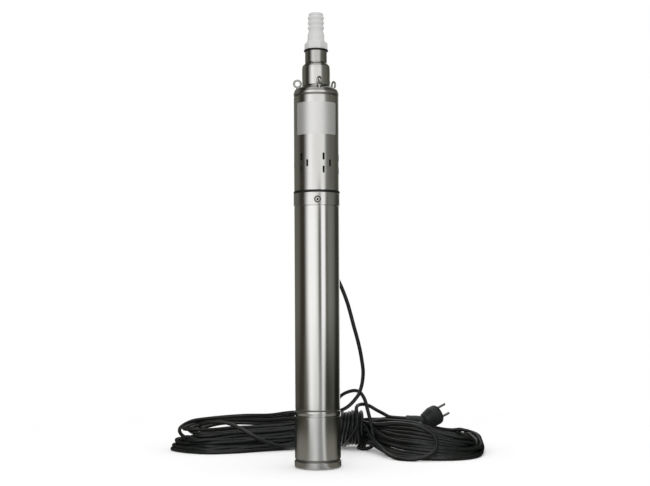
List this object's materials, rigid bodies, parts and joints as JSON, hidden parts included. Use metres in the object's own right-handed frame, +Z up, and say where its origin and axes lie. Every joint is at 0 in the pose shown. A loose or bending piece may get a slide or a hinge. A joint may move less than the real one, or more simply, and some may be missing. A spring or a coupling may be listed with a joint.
{
  "type": "borehole submersible pump",
  "caption": "Slim stainless borehole pump: motor below, screw pump stage above, intake slots, lifting eyes, check valve, white hose tail and a hanked supply cable with plug.",
  "frame": {"origin": "on the pump's axis at the underside of the foot", "axes": "+Z up along the pump's axis towards the hose tail, -Y the front with the label, +Y the rear where the cable leaves"},
  "size_m": [0.6003, 0.3549, 0.7843],
  "materials": {
    "polished_stainless": "polished",
    "satin_stainless": "satin",
    "cast_stainless": "satin",
    "ground_steel": "polished",
    "chromed_rotor": "polished",
    "laminated_steel": "matte",
    "cast_aluminium": "satin",
    "enamelled_copper": "satin",
    "carbon_seal": "satin",
    "black_rubber": "matte",
    "stator_rubber": "satin",
    "white_plastic": "satin",
    "cable_sheath": "matte",
    "plug_plastic": "satin"
  },
  "bodies": {
    "pump": {"foot_cap": "satin_stainless", "foot_o_ring": "black_rubber", "lower_shell": "satin_stainless", "capacitor_cup": "black_rubber", "capacitor": "cast_aluminium", "lower_bracket": "cast_stainless", "lower_bearing_outer": "ground_steel", "upper_bearing_outer": "ground_steel", "motor_shell": "polished_stainless", "stator_core": "laminated_steel", "stator_winding": "enamelled_copper", "motor_head": "polished_stainless", "head_o_ring": "black_rubber", "joint_ring": "black_rubber", "head_screw_front": "satin_stainless", "head_screw_right": "satin_stainless", "head_screw_left": "satin_stainless", "seal_seat": "carbon_seal", "cable_gland": "ground_steel", "cable_sleeve": "black_rubber", "pump_casing": "polished_stainless", "stator_tube": "satin_stainless", "stator_rubber": "stator_rubber", "discharge_head": "polished_stainless", "eye_bolt_front": "satin_stainless", "eye_bolt_right": "satin_stainless", "eye_bolt_left": "satin_stainless", "outlet_socket": "satin_stainless", "valve_guide": "satin_stainless", "valve_spring": "ground_steel", "hose_washer": "black_rubber", "hose_tail": "white_plastic", "cable_lead": "cable_sheath", "cable_hank": "cable_sheath", "cable_tail": "cable_sheath", "plug_relief": "plug_plastic", "plug_body": "plug_plastic", "plug_pin_upper": "ground_steel", "plug_pin_lower": "ground_steel"},
    "motor_rotor": {"motor_shaft": "ground_steel", "rotor_core": "laminated_steel", "rotor_end_ring_lower": "cast_aluminium", "rotor_end_ring_upper": "cast_aluminium", "lower_bearing_inner": "ground_steel", "upper_bearing_inner": "ground_steel", "seal_head": "black_rubber", "sand_slinger": "black_rubber", "coupling_hub": "ground_steel"},
    "flex_shaft": {"flexible_shaft": "ground_steel"},
    "screw": {"screw_rotor": "chromed_rotor"},
    "poppet": {"valve_poppet": "black_rubber"}
  },
  "joints": [
    {"name": "motor_spin", "type": "hinge", "parent": "pump", "child": "motor_rotor", "pos_m": [0, 0, 0.27], "axis": [0, 0, 1], "continuous": true},
    {"name": "flex_precession", "type": "hinge", "parent": "pump", "child": "flex_shaft", "pos_m": [0, 0, 0.525], "axis": [0, 0, 1], "continuous": true},
    {"name": "rotor_roll", "type": "hinge", "parent": "flex_shaft", "child": "screw", "pos_m": [0.0025, 0, 0.5385], "axis": [0, 0, 1], "continuous": true},
    {"name": "valve_lift", "type": "slide", "parent": "pump", "child": "poppet", "axis": [0, 0, 1], "range_m": [0, 0.005], "stiffness_N_per_m": 300, "springref_m": -0.004, "deforming": ["valve_spring"]}
  ],
  "couplings": [
    {"joint": "flex_precession", "follows": "motor_spin", "ratio": -1},
    {"joint": "rotor_roll", "follows": "motor_spin", "ratio": 2}
  ]
}
